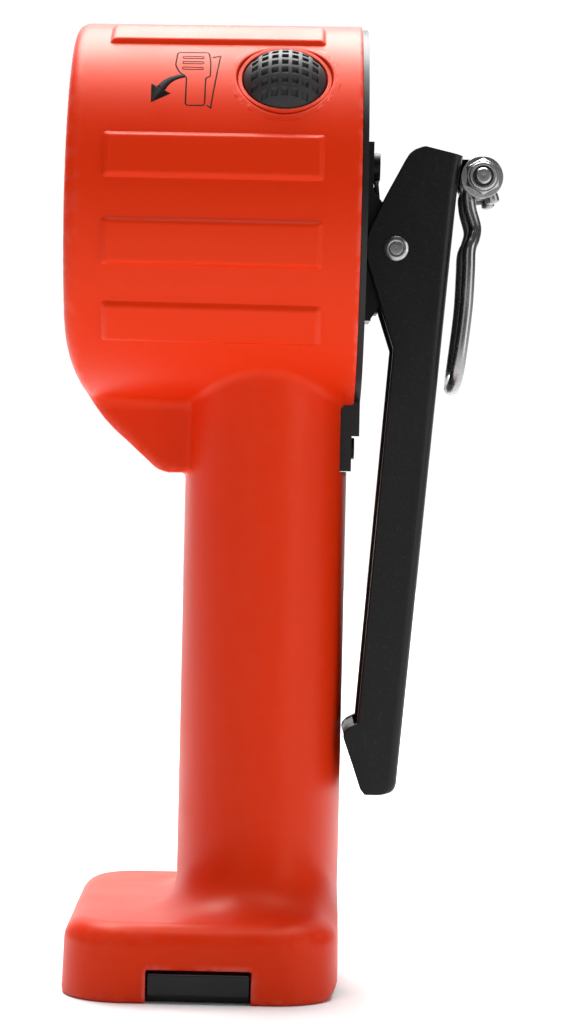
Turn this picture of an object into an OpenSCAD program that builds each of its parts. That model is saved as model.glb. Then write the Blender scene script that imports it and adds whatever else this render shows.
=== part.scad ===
// Right-angle firefighter flashlight: shell, lamp head, battery pack,
// battery door, push button, spring clip and hanging ring.
// Origin on the ground under the handle axis; -X is the lens side,
// +X the clip side, -Y the button side, +Z up.

/* [Head] */
// Height of the lamp axis above the ground
head_z = 140.8; // [139:0.2:143]
// Outer radius of the head at its rear
head_r_rear = 35.7; // [35.4:0.1:36]
// Outer radius of the head at its front
head_r_front = 35.2; // [35:0.1:35.6]
// Distance from the handle axis to the front rim
head_front = 36.8; // [36:0.2:38]
// Distance from the handle axis to the rear edge of the shell
head_rear = 16; // [15.8:0.1:16.4]
// Wall thickness of the head
head_wall = 3; // [2.8:0.1:3.2]
// Width of the raised grip ribs
rib_w = 7.7; // [6:0.1:8]
// Height of the raised grip ribs
rib_h = 0.8; // [0.5:0.1:1]

/* [Handle] */
// Half depth of the handle, front to back
handle_rx = 15; // [14.8:0.1:15.4]
// Half width of the handle, side to side
handle_ry = 20.4; // [20:0.1:21]
// Wall thickness of the handle
handle_wall = 2.2; // [2:0.1:2.4]

/* [Foot] */
// Front end of the foot
foot_front = 34.4; // [33:0.2:36]
// Rear end of the foot
foot_rear = 14.8; // [14.8:0.1:15.2]
// Half width of the foot
foot_ry = 35; // [34:0.5:36]
// Height of the top of the foot
foot_h = 13.7; // [13:0.1:14.5]
// Corner radius of the foot in plan
foot_corner = 11.5; // [10:0.5:12]

/* [Clip] */
// Height of the clip pivot
clip_z = 134.9; // [134:0.1:136]
// Distance from the handle axis to the clip pivot
clip_x = 23; // [22.8:0.1:23.4]
// Half width of the clip lever
clip_ry = 11; // [10.5:0.1:12]
// Sheet thickness of the lever and its bracket
sheet_t = 1.6; // [1.5:0.1:1.8]

/* [Button] */
// Angle of the button above the horizontal
button_angle = 41; // [37:0.2:42]
// Distance of the button from the handle axis
button_x = 2; // [1:0.2:3]
// Radius of the rubber dome
button_r = 7.4; // [7:0.05:7.5]

/* [Ring] */
// Diameter of the ring wire
wire_d = 2.5; // [2.3:0.1:2.6]

/* [Hidden] */

$fn = 96;
gap = 0.2;                                   // assembly clearance
orange = [0.93, 0.22, 0.08];
black = [0.07, 0.07, 0.08];
steel = [0.75, 0.76, 0.78];

rim_round = 3;
ledge_x = -25.6;                             // lens seat, behind the front rim
ledge_t = 2;
lens_r = 31.8;
lens_t = 2.4;
seal_t = 1;
bore_r = head_r_rear - head_wall - 0.3;      // inside of the head
rebate_r = 33.9;                             // seat of the rear cover
rebate_t = 2.5;
cover_r = 35.1;
cover_t = 1.1;
cover_face = head_rear + cover_t;

cut_r = 28;                                  // radius of the cut-back lower front
chin_ry = 8;
chin_z = 92.9;
rib_x0 = -29.3;
rib_x1 = 8.9;
rib_step = 25;
rib_angles = [63.4, 13.4, -11.6, -36.6];

cell_r = 7.25;
cell_l = 49.5;
cell_y = 7.95;
cell_z0 = 5.9;
bay_z0 = 6;
bay_z1 = 106.4;
tongue_z = 93.8;
tongue_w = 15;

ledge_z = 3.65;                              // ledge that the door's seal presses on
door_t = 3;
door_gap = 0.35;
rim_t = 2.3;
hinge_x = 12.5;
hinge_z = 2.1;
hinge_r = 2;
hinge_pin_r = 0.8;
knuckle_y = 19.5;
knuckle_l = 8.6;
pack_rx = 7.4;                               // half depth of what passes the battery opening
latch_x = -9.7;
latch_w = 18;
latch_h = 4.7;
latch_travel = 1.5;

button_travel = 2;
recess_r = 8.6;
button_out = head_r_rear + 3.2;

bracket_x = cover_face;
pin_r = 1.8;
ring_x = 38.65;
ring_z = 148.5;
bolt_r = 1.5;

function ellipse_pts(a, b, n = 56) = [for (i = [0:n - 1]) [a * cos(360 * i / n), b * sin(360 * i / n)]];
function arc_pts(cx, cy, r, a0, a1, n = 10) =
  [for (i = [0:n]) [cx + r * cos(a0 + (a1 - a0) * i / n), cy + r * sin(a0 + (a1 - a0) * i / n)]];
function unit(v) = v / norm(v);
// Smooth curve through the points, n steps between each pair
function curve(p, n) = concat([for (i = [0:len(p) - 2], k = [0:n - 1]) let (
  a = p[max(i - 1, 0)], b = p[i], c = p[i + 1], d = p[min(i + 2, len(p) - 1)], t = k / n)
  0.5 * (2 * b + t * (c - a) + t * t * (2 * a - 5 * b + 4 * c - d) + t * t * t * (3 * b - a - 3 * c + d))],
  [p[len(p) - 1]]);
function dish(f, x_vertex, r) = x_vertex - r * r / (4 * f);

// Turns a profile of [x, radius] points round the lamp axis
module head_turned(pts) {
  translate([0, 0, head_z]) rotate([0, 90, 0]) rotate_extrude() polygon([for (p = pts) [p[1], p[0]]]);
}

// A straight round bar or bore along the lamp axis
module head_disc(x0, x1, r) {
  translate([x0, 0, head_z]) rotate([0, 90, 0]) cylinder(h = x1 - x0, r = r);
}

// Extrudes an outline drawn in X and Z across the width, centred on Y = 0
module across(w) {
  rotate([90, 0, 0]) linear_extrude(height = w, center = true) children();
}

// Places children at an angle round the lamp axis, +X kept, -Y turned upward
module round_head(a) {
  translate([0, 0, head_z]) rotate([-a, 0, 0]) children();
}

module bar_y(x, z, y0, y1, r) {
  translate([x, y0, z]) rotate([-90, 0, 0]) cylinder(h = y1 - y0, r = r);
}

module slab(x0, x1, y0, y1, z0, z1) {
  translate([x0, y0, z0]) cube([x1 - x0, y1 - y0, z1 - z0]);
}

// ---- shell ----

module front_cut() {
  // Removes what lies outside the rounded lower front of the head
  across(90) polygon(concat(
    [[-60, 60], [-60, 121], [-head_front, 121]],
    arc_pts(cut_r - head_front, 121, cut_r, 182, 228, 8),
    [[-19.4, chin_z], [-19.4, 60]]));
}

module head_outer() {
  head_turned(concat(
    [[-head_front, 0], [-head_front, head_r_front - rim_round]],
    [for (i = [1:8]) [-head_front + rim_round * (1 - cos(90 * i / 8)),
                      head_r_front - rim_round * (1 - sin(90 * i / 8))]],
    [[head_rear, head_r_rear], [head_rear, 0]]));
}

module rib(a, x0 = rib_x0, x1 = rib_x1, w = rib_w, h = rib_h) {
  round_head(a) slab(x0, x1, -head_r_rear - h, -head_r_rear + 2.5, -w / 2, w / 2);
}

module chin() {
  slab(-36, -6, -chin_ry, chin_ry, chin_z, 112);
}

module foot_outer() {
  hull() for (x = [-foot_front + foot_corner, foot_rear - foot_corner])
    for (y = [-1, 1]) translate([x, y * (foot_ry - foot_corner), 0])
      rotate_extrude($fn = 32) polygon(concat(
        [[0, 0], [foot_corner, 0]],
        arc_pts(foot_corner - 4.3, foot_h - 4, 4, 0, 90, 6),
        [[0, foot_h]]));
}

module foot_inner() {
  translate([0, 0, -1]) linear_extrude(height = ledge_z + 1) door_outline(0);
  difference() {
    translate([0, 0, -1]) linear_extrude(height = foot_h - 2) seal_outline(1.4);
    translate([0, 0, bay_z0]) linear_extrude(height = 20) polygon(ellipse_pts(handle_rx, handle_ry));
  }
}

// Plan outline of the door's seal, made smaller by s
module seal_outline(s) {
  c = 6 - s * 0.7;
  x0 = -foot_front + 4 + s;
  x1 = hinge_x - 3.6 - s;
  y1 = foot_ry - 6.7 - s;
  polygon(concat(
    arc_pts(x0 + c, -y1 + c, c, 180, 270, 6), arc_pts(x1 - 2, -y1 + 2, 2, 270, 360, 4),
    arc_pts(x1 - 2, y1 - 2, 2, 0, 90, 4), arc_pts(x0 + c, y1 - c, c, 90, 180, 6)));
}

// Plan outline of the door opening, made smaller by s
module door_outline(s) {
  x0 = -foot_front + rim_t + s;
  x1 = hinge_x - hinge_r - 0.4 - s;
  y1 = foot_ry - rim_t - s;
  c = foot_corner - rim_t - s;
  polygon(concat(
    arc_pts(x0 + c, -y1 + c, c, 180, 270, 8),
    [[x1, -y1], [x1, y1]],
    arc_pts(x0 + c, y1 - c, c, 90, 180, 8)));
}

module latch_window(side, s) {
  slab(latch_x - latch_w / 2 - s, latch_x + latch_w / 2 + s,
       side > 0 ? foot_ry - 5.4 : -foot_ry - 1, side > 0 ? foot_ry + 1 : -foot_ry + 5.4,
       -1, latch_h + 0.9 + s);
}

module housing() color(orange) difference() {
  union() {
    difference() {
      union() {
        head_outer();
        chin();
      }
      front_cut();
    }
    for (a = rib_angles) {
      rib(a);
      rib(180 - a);
    }
    rib(180 - button_angle);
    rib(button_angle + 3.4, button_x - 11, rib_x1, 14.5, 0.6);
    linear_extrude(height = 112) polygon(ellipse_pts(handle_rx, handle_ry));
    foot_outer();
  }
  head_disc(-head_front - 1, ledge_x, lens_r + gap);
  head_disc(-head_front, 0, lens_r - 2.4);
  difference() {
    head_disc(ledge_x + ledge_t, head_rear + 1, bore_r);
    cover_screw_places() translate([5, 0, 0]) rotate([0, 90, 0]) cylinder(h = 5.4, r = 3);
  }
  head_disc(head_rear - rebate_t, head_rear + 1, rebate_r);
  translate([0, 0, bay_z0]) linear_extrude(height = bay_z1 - bay_z0)
    polygon(ellipse_pts(handle_rx - handle_wall, handle_ry - handle_wall));
  foot_inner();
  // Seat of the rear cover's tongue, and its screw hole
  slab(13.2, 20, -tongue_w / 2 - gap, tongue_w / 2 + gap, tongue_z - gap, 108);
  translate([11, 0, 98]) rotate([0, 90, 0]) cylinder(h = 6, r = 1.1);
  cover_screw_places() translate([6, 0, 0]) rotate([0, 90, 0]) cylinder(h = 6, r = 1.25);
  // Button recess through the wall
  round_head(button_angle) {
    translate([button_x, -head_r_rear + 1.4, 0]) rotate([90, 0, 0]) cylinder(h = 6, r = recess_r);
    translate([button_x, -head_r_rear + 6, 0]) rotate([90, 0, 0]) cylinder(h = 8, r = button_r + 0.15);
  }
  latch_window(-1, 0.3);
  latch_window(1, 0.3);
  // Room for the hinge knuckles in the rear edge of the foot
  for (s = [-1, 1]) slab(10, 16, s * knuckle_y - knuckle_l / 2 - gap, s * knuckle_y + knuckle_l / 2 + gap,
    -1, hinge_z + hinge_r + 0.4);
  bar_y(hinge_x, hinge_z, -26, 26, hinge_pin_r);
  // Wire passage from the battery bay into the head
  translate([0, 0, bay_z1 - 1]) cylinder(h = 14, r = 3.5);
}

// ---- rear cover ----

screw_pcr = 29.5;
module cover_screw_places() {
  for (a = [0, 62, 118, 180])
    translate([0, screw_pcr * cos(a), head_z + screw_pcr * sin(a)]) children();
}

module rear_cover() color(black) difference() {
  union() {
    head_disc(head_rear - rebate_t + 0.05, head_rear + 0.05, rebate_r - 0.1);
    head_disc(head_rear, cover_face, cover_r);
    head_disc(head_rear - rebate_t - 3, head_rear - rebate_t + 1, bore_r - 0.15);
    slab(14.6, cover_face, -tongue_w / 2, tongue_w / 2, 100.3, 106.6);
    slab(13.4, 15.7, -tongue_w / 2, tongue_w / 2, tongue_z, 106.6);
  }
  head_disc(head_rear - rebate_t - 4, head_rear - 1.2, bore_r - 5.2);
  // Groove for the seal
  difference() {
    head_disc(11.4, 12.9, bore_r + 1);
    head_disc(11.3, 13, bore_r - 1.35);
  }
  cover_screw_places() translate([8, 0, 0]) rotate([0, 90, 0]) cylinder(h = 12, r = 1.3);
  cover_screw_places() translate([15.2, 0, 0]) rotate([0, 90, 0]) cylinder(h = 4, r = 2.7);
  translate([12, 0, 98]) rotate([0, 90, 0]) cylinder(h = 6, r = 1.3);
  bracket_screw_places() translate([8, 0, 0]) rotate([0, 90, 0]) cylinder(h = 12, r = 1.3);
}

module rear_cover_seal() color("black")
  translate([12.15, 0, head_z]) rotate([0, 90, 0]) rotate_extrude() translate([bore_r - 0.68, 0]) circle(r = 0.66, $fn = 24);

// Pan-head screw along +X with its underside of head at the origin
module screw_x(len, r, head_r, head_h) {
  difference() {
    union() {
      translate([-len, 0, 0]) rotate([0, 90, 0]) cylinder(h = len + 0.1, r = r);
      rotate([0, 90, 0]) cylinder(h = head_h, r = head_r);
    }
    translate([head_h * 0.4, 0, 0]) rotate([0, 90, 0]) cylinder(h = head_h, r = head_r * 0.5, $fn = 6);
  }
}

module rear_cover_screws() color(steel) cover_screw_places() translate([15.2, 0, 0]) screw_x(8, 1.2, 2.5, 1.2);

module tongue_screw() color(steel) translate([15.7, 0, 98]) screw_x(2.8, 1.05, 2, 0.65);

// ---- lamp ----

module bezel() color(black) head_turned([
  [-32.4, 30.2], [-32.4, lens_r + 0.05], [ledge_x - seal_t - lens_t, lens_r + 0.05],
  [ledge_x - seal_t - lens_t, 28.6], [-30.4, 28.6]]);

module lens() color([0.85, 0.92, 0.95, 0.35])
  head_disc(ledge_x - seal_t - lens_t, ledge_x - seal_t, lens_r);

module lens_seal() color("dimgray") head_turned([
  [ledge_x - seal_t, 29.6], [ledge_x - seal_t, lens_r], [ledge_x, lens_r], [ledge_x, 29.6]]);

reflector_f = 6;
reflector_rim = 27.4;
vertex_x = 5;
module reflector() color("gainsboro") head_turned(concat(
  [for (i = [0:16]) let (r = 5 + (reflector_rim - 5) * i / 16) [dish(reflector_f, vertex_x, r), r]],
  [[dish(reflector_f, vertex_x, reflector_rim), 29.2], [dish(reflector_f, vertex_x, reflector_rim) + 1.2, 29.2]],
  [for (i = [16:-1:0]) let (r = 5 + (reflector_rim - 5) * i / 16)
    [dish(reflector_f, vertex_x, r) + 1.4, r + 0.8]]));

module led_board() color("white") head_disc(-0.9, 0.1, 4.2);

module led() color([0.95, 0.8, 0.3]) {
  translate([-1.5, -1.7, head_z - 1.7]) cube([0.6, 3.4, 3.4]);
  translate([0, 0, head_z]) rotate([0, 90, 0]) rotate_extrude()
    polygon(concat([[0, -1.5]], [for (i = [0:8]) [1.5 * cos(90 * i / 8), -1.5 - 1.5 * sin(90 * i / 8)]]));
}

module heat_sink() color("silver") difference() {
  union() {
    head_disc(0.1, 7, 4.4);
    head_disc(6.8, 9.2, 25.8);
  }
  for (a = [45:90:360]) rotate_head_x(a) translate([6, 0, 22]) rotate([0, 90, 0]) cylinder(h = 4, r = 1.3);
  translate([6, 0, head_z - 13.5]) rotate([0, 90, 0]) cylinder(h = 4, r = 4);
}

module rotate_head_x(a) {
  translate([0, 0, head_z]) rotate([a, 0, 0]) children();
}

module heat_sink_screws() color(steel)
  for (a = [45:90:360]) rotate_head_x(a) translate([10.9, 0, 22]) screw_x(4, 1.2, 2.2, 1);

module driver_board() color("darkgreen") difference() {
  head_disc(9.4, 10.9, 26);
  for (a = [45:90:360]) rotate_head_x(a) translate([9, 0, 22]) rotate([0, 90, 0]) cylinder(h = 3, r = 1.3);
  translate([9, 0, head_z - 12]) rotate([0, 90, 0]) cylinder(h = 3, r = 2);
}

module driver_parts() color("dimgray") {
  for (p = [[-10, 6, 6, 6], [2, 9, 5, 5], [10, -4, 4, 6], [-4, -4, 5, 4]])
    translate([10.9, p[0] - p[2] / 2, head_z + p[1] - p[3] / 2]) cube([2.2, p[2], p[3]]);
  translate([10.9, 12, head_z + 8]) rotate([0, 90, 0]) cylinder(h = 2, r = 2.5);
}

// ---- button ----

module at_button() {
  round_head(button_angle) translate([button_x, -head_r_rear, 0]) rotate([90, 0, 0]) children();
}

// Here +Z points outward from the shell's skin
module switch() color("dimgray") at_button() {
  translate([-4.2, -4.2, -13.5]) cube([8.4, 8.4, 4]);
  translate([-12, -4, -13.5]) cube([8, 8, 1.2]);
  translate([-12, -4, -13.5]) cube([1.4, 8, 9.6]);
  translate([0, 0, -9.6]) cylinder(h = 1, r = 1.6);
}

module button_collar() color(black) at_button() difference() {
  translate([0, 0, -1.35]) cylinder(h = 0.6, r = recess_r - 0.1);
  translate([0, 0, -2]) cylinder(h = 3, r = button_r + 0.2);
}

dome_h = 4.2;
dome_r = (button_r * button_r + dome_h * dome_h) / (2 * dome_h);
module power_button() color(black) at_button() {
  rotate_extrude() polygon(concat(
    [[0, -3.2], [button_r, -3.2], [button_r, -0.9]],
    [for (i = [0:8]) let (r = button_r * (1 - i / 8)) [r, -0.9 + sqrt(dome_r * dome_r - r * r) - dome_r + dome_h]]));
  translate([0, 0, -6.5]) cylinder(h = 3.4, r = 2);
}

module button_spring() color(steel) at_button() translate([0, 0, -9.45]) difference() {
  cylinder(h = 6.2, r = 4.2);
  translate([0, 0, -1]) cylinder(h = 9, r = 3.6);
}

// ---- clip ----

module clip_bracket() color(black) difference() {
  union() {
    slab(bracket_x, bracket_x + sheet_t, -9, 9, 121.6, 154.6);
    for (y = [-8.2, 8.2]) translate([0, y, 0]) across(sheet_t) polygon(concat(
      [[bracket_x, 122], [bracket_x + sheet_t, 122]],
      arc_pts(clip_x, clip_z, 3.6, -45, 45, 8),
      [[bracket_x + sheet_t, 145.5], [bracket_x, 145.5]]));
  }
  bar_y(clip_x, clip_z, -15, 15, pin_r + 0.04);
  bracket_screw_places() translate([14, 0, 0]) rotate([0, 90, 0]) cylinder(h = 8, r = 1.6);
}

module bracket_screw_places() {
  for (y = [-3, 3], z = [125.6, 150.4]) translate([0, y, z]) children();
}

module bracket_screws() color(steel) bracket_screw_places()
  translate([bracket_x + sheet_t, 0, 0]) screw_x(4, 1.25, 2.6, 1.3);

module clip_pin() color(steel) {
  bar_y(clip_x, clip_z, -11.5, 11.5, pin_r);
  for (s = [-1, 1]) bar_y(clip_x, clip_z, s * 11.4 - 0.3, s * 11.4 + 0.3, 2.3);
}

module clip_spring() color(steel) {
  difference() {
    bar_y(clip_x, clip_z, -6.85, 6.85, 3.3);
    bar_y(clip_x, clip_z, -7, 7, 2.4);
  }
  for (y = [-6.4, 6.4]) {
    wire([[20.15, y, clip_z], [19.75, y, 142], [19.2, y, 147.4]], 0.45, [0, 1, 0], 8);
    wire([[25.8, y, clip_z], [27.6, y, 128], [29.9, y, 119.5]], 0.45, [0, 1, 0], 8);
  }
}

// Side outline of the lever's flanges
module lever_flange_2d() {
  polygon(concat(
    [[35, 152.2], [27.5, 153.9], [25.7, 153.2], [20.6, 143.9]],
    arc_pts(22.4, 134.9, 4.9, 160, 200, 4),
    [[22.9, 116.5], [17.8, 47.6], [15.8, 46.4], [15.3, 45.2], [18.6, 35.6], [19.6, 34.6], [23, 34.6], [25.2, 36.6],
     [34, 145.2]]));
}

module lever_web_2d() {
  polygon([[35, 152.2], [33.3, 152.6], [32.35, 145.2], [23.6, 37], [22.6, 36.2], [18.9, 36.2], [18.9, 34.6], [23, 34.6],
    [25.2, 36.6], [34, 145.2]]);
}

module clip_lever() color(black) difference() {
  union() {
    for (s = [-1, 1]) translate([0, s * (clip_ry - sheet_t / 2), 0]) across(sheet_t) lever_flange_2d();
    across(2 * clip_ry) lever_web_2d();
    across(2 * clip_ry) polygon([[15.3, 45.2], [15.8, 46.4], [17.3, 47.2], [17.7, 45.8], [16.9, 45], [16.4, 43.9]]);
    // Knuckle that carries the ring bolt
    across(10) polygon([[33.3, 152.1], [33.3, 145.2], [36, 144.6], [38.6, 145.3], [38.6, 151.6]]);
    bar_y(ring_x, ring_z, -5, 5, 3.4);
  }
  bar_y(clip_x, clip_z, -20, 20, pin_r + 0.04);
  bar_y(ring_x, ring_z, -20, 20, bolt_r + 0.08);
}

// ---- ring ----

module ring_bolt() color(steel) {
  bar_y(ring_x, ring_z, -12.7, 9.2, bolt_r);
  difference() {
    bar_y(ring_x, ring_z, 8.95, 11, 2.8);
    translate([ring_x, 12, ring_z]) rotate([90, 0, 0]) cylinder(h = 2.4, r = 1.3, $fn = 6);
  }
}

module ring_nut() color(steel) difference() {
  union() {
    translate([ring_x, -8.95, ring_z]) rotate([90, 30, 0]) cylinder(h = 2.4, r = 3.4, $fn = 6);
    bar_y(ring_x, ring_z, -12, -11.3, 2.6);
  }
  bar_y(ring_x, ring_z, -14, -8, bolt_r);
}

module ring_washers() color(steel) for (y = [-8.5, 8.5]) difference() {
  bar_y(ring_x, ring_z, y - 0.45, y + 0.45, 3.9);
  bar_y(ring_x, ring_z, y - 1, y + 1, bolt_r + 0.1);
}

// Round wire swept along a route; ref is a direction that the route never follows
module wire(route, r, ref, sides = 12) {
  n = len(route);
  rings = [for (i = [0:n - 1]) let (
    t = unit(route[min(i + 1, n - 1)] - route[max(i - 1, 0)]),
    u = unit(cross(ref, t)), v = cross(t, u))
    for (k = [0:sides - 1]) route[i] + r * (cos(360 * k / sides) * u + sin(360 * k / sides) * v)];
  walls = [for (i = [0:n - 2], k = [0:sides - 1]) let (j = (k + 1) % sides)
    [i * sides + k, (i + 1) * sides + k, (i + 1) * sides + j, i * sides + j]];
  polyhedron(points = rings, faces = concat(
    walls, [[for (k = [0:sides - 1]) k]], [[for (k = [sides - 1:-1:0]) (n - 1) * sides + k]]));
}

// Half of the ring's route, from the near eye down to the middle of the loop
ring_half = [[36.2, -6.7, 146], [36.7, -6.8, 142.6], [37.6, -7.3, 138.8], [36.5, -9.4, 136.2], [36.4, -10, 132],
  [36.1, -10, 124], [35.2, -10, 115.5], [34.7, -8.8, 111.8], [34.4, -5.6, 110], [34.3, -1.8, 109.6]];
ring_route = curve(concat(ring_half, [for (i = [len(ring_half) - 1:-1:0])
  [ring_half[i][0], -ring_half[i][1], ring_half[i][2]]]), 3);

module d_ring() color(steel) {
  for (s = [-1, 1]) difference() {
    bar_y(ring_x, ring_z, s * 6.7 - wire_d / 2, s * 6.7 + wire_d / 2, 3.9);
    bar_y(ring_x, ring_z, s * 6.7 - 3, s * 6.7 + 3, bolt_r + 0.08);
  }
  wire(ring_route, wire_d / 2, [1, 0, 0]);
}

// ---- battery door ----

module battery_door() color(black) difference() {
  union() {
    linear_extrude(height = door_t) intersection() {
      door_outline(door_gap);
      translate([-60, -60]) square([60 + hinge_x - hinge_r - 1.2, 120]);
    }
    for (s = [-1, 1]) {
      bar_y(hinge_x, hinge_z, s * knuckle_y - knuckle_l / 2, s * knuckle_y + knuckle_l / 2, hinge_r);
      slab(8, hinge_x, s * knuckle_y - knuckle_l / 2, s * knuckle_y + knuckle_l / 2, 0.1, 2.6);
    }
    // Rim that locates the seal
    translate([0, 0, door_t - 0.5]) linear_extrude(height = 1.9) difference() {
      seal_outline(1.9);
      seal_outline(3.1);
    }
  }
  bar_y(hinge_x, hinge_z, -25, 25, hinge_pin_r + 0.05);
  latch_pocket(-1);
  latch_pocket(1);
}

module latch_pocket(s) {
  mirror([0, s > 0 ? 1 : 0, 0])
    slab(latch_x - latch_w / 2 - gap, latch_x + latch_w / 2 + gap, -foot_ry - 1, -foot_ry + 6.4, 1.2, 8);
}

module door_hinge_pin() color(steel) bar_y(hinge_x, hinge_z, -25.5, 25.5, hinge_pin_r - 0.01);

module door_seal() color("dimgray") translate([0, 0, door_t]) linear_extrude(height = ledge_z - door_t - 0.05)
  difference() {
    seal_outline(0.1);
    seal_outline(1.2);
  }

module door_contact() color("gold") slab(-3.5, 3.5, -12, 12, door_t, door_t + 0.5);

module contact_springs() color("gold") for (s = [-1, 1]) translate([0, s * cell_y, door_t + 0.5]) difference() {
  cylinder(h = cell_z0 - door_t - 0.55, r1 = 4, r2 = 2.6);
  translate([0, 0, -1]) cylinder(h = 6, r = 1.8);
}

module door_latch(s) color(black) mirror([0, s > 0 ? 1 : 0, 0]) {
  slab(latch_x - latch_w / 2, latch_x + latch_w / 2, -foot_ry, -foot_ry + 3.6, 1.4, latch_h + 0.6);
  slab(latch_x - 6, latch_x + 6, -foot_ry + 3.5, -foot_ry + 4.4, 1.4, 3.6);
}
module door_latch_near() door_latch(-1);
module door_latch_far() door_latch(1);

module latch_springs(s) color(steel) for (x = [-4, 4])
  translate([latch_x + x, s * (foot_ry - 4.5), 2.6]) rotate([s * 90, 0, 0]) difference() {
    cylinder(h = 1.8, r = 0.9, $fn = 24);
    translate([0, 0, -1]) cylinder(h = 4, r = 0.5, $fn = 24);
  }
module latch_springs_near() latch_springs(-1);
module latch_springs_far() latch_springs(1);

// ---- batteries ----

module battery_cradle() color("dimgray") difference() {
  intersection() {
    union() {
      for (s = [-1, 1]) translate([0, s * cell_y, 7]) cylinder(h = 98, r = 8.4);
      slab(-pack_rx, pack_rx, -1.6, 1.6, 7, 105);
    }
    slab(-pack_rx, pack_rx, -20, 20, 0, 110);
  }
  for (s = [-1, 1]) translate([0, s * cell_y, 6]) cylinder(h = 100, r = 7.5);
}

module contact_board() color("darkgreen") difference() {
  slab(-pack_rx, pack_rx, -14.4, 14.4, 105.1, 106.3);
  translate([0, 0, 104]) cylinder(h = 4, r = 1);
}

module cell(col, row) {
  flip = col > 0;
  z = cell_z0 + row * cell_l;
  translate([0, col * cell_y, 0]) {
    color("slategray") translate([0, 0, z + (flip ? 1.3 : 0)]) cylinder(h = cell_l - 1.35, r = cell_r);
    color("silver") translate([0, 0, flip ? z : z + cell_l - 1.45]) cylinder(h = 1.4, r = 2.7);
  }
}
module cell_1() cell(-1, 0);
module cell_2() cell(-1, 1);
module cell_3() cell(1, 0);
module cell_4() cell(1, 1);

module lead(y) {
  wire(curve([[0, y, 106.3], [0, y, 112], [1, y * 1.2, 118], [5, y * 1.5, 124], [9.35, y * 1.5, head_z - 12]], 4),
       0.6, [0, 1, 0], 8);
}
module lead_red() color("firebrick") lead(-1);
module lead_black() color("black") lead(1);

housing();
rear_cover();
rear_cover_seal();
rear_cover_screws();
tongue_screw();
bezel();
lens();
lens_seal();
reflector();
led();
led_board();
heat_sink();
heat_sink_screws();
driver_board();
driver_parts();
switch();
button_collar();
power_button();
button_spring();
clip_bracket();
bracket_screws();
clip_pin();
clip_spring();
clip_lever();
ring_bolt();
ring_nut();
ring_washers();
d_ring();
battery_door();
door_hinge_pin();
door_seal();
door_contact();
contact_springs();
door_latch_near();
door_latch_far();
latch_springs_near();
latch_springs_far();
battery_cradle();
contact_board();
cell_1();
cell_2();
cell_3();
cell_4();
lead_red();
lead_black();
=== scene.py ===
import math

import bmesh
import bpy
import numpy as np
from mathutils import Matrix, Vector


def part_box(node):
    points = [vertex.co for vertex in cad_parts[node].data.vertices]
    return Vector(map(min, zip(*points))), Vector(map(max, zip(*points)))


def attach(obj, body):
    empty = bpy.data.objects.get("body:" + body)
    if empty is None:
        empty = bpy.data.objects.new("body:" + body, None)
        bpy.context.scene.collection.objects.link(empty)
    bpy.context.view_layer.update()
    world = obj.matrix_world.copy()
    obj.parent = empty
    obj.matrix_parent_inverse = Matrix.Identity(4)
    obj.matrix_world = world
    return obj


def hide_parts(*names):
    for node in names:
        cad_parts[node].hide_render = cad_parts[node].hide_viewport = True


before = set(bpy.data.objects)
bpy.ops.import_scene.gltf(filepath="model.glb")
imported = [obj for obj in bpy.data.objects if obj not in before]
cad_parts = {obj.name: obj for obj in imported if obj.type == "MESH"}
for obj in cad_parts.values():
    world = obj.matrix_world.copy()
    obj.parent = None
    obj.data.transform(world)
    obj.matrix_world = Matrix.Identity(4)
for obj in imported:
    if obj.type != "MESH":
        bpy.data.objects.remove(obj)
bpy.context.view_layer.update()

bl_info = {
    "name": "Firefighter flashlight",
    "version": (1, 0, 0),
    "blender": (4, 5, 0),
    "location": "View3D > Sidebar > Flashlight",
    "description": "Builds the visible surfaces of a right-angle firefighter flashlight",
    "category": "Add Mesh",
}

MM = 0.001


def box_mm(node):
    """A CAD node's lowest and highest corner in millimetres."""
    low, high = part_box(node)
    return np.array(low) / MM, np.array(high) / MM


# The driving places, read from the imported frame, in millimetres
SHELL_LOW, SHELL_HIGH = box_mm("housing")
LENS_LOW, LENS_HIGH = box_mm("lens")
LENS_R = (LENS_HIGH[2] - LENS_LOW[2]) / 2
HEAD_Z = (LENS_HIGH[2] + LENS_LOW[2]) / 2
PIN_LOW, PIN_HIGH = box_mm("clip_pin")
CLIP_X, CLIP_Z = (PIN_LOW[0] + PIN_HIGH[0]) / 2, (PIN_LOW[2] + PIN_HIGH[2]) / 2
WASHER_LOW, WASHER_HIGH = box_mm("ring_washers")
RING_X, RING_Z = (WASHER_LOW[0] + WASHER_HIGH[0]) / 2, (WASHER_LOW[2] + WASHER_HIGH[2]) / 2
LATCH_LOW, LATCH_HIGH = box_mm("door_latch_near")
DRUM_FRONT, DRUM_REAR = SHELL_LOW[0], 16.0


# ---- sizes and colours

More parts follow.
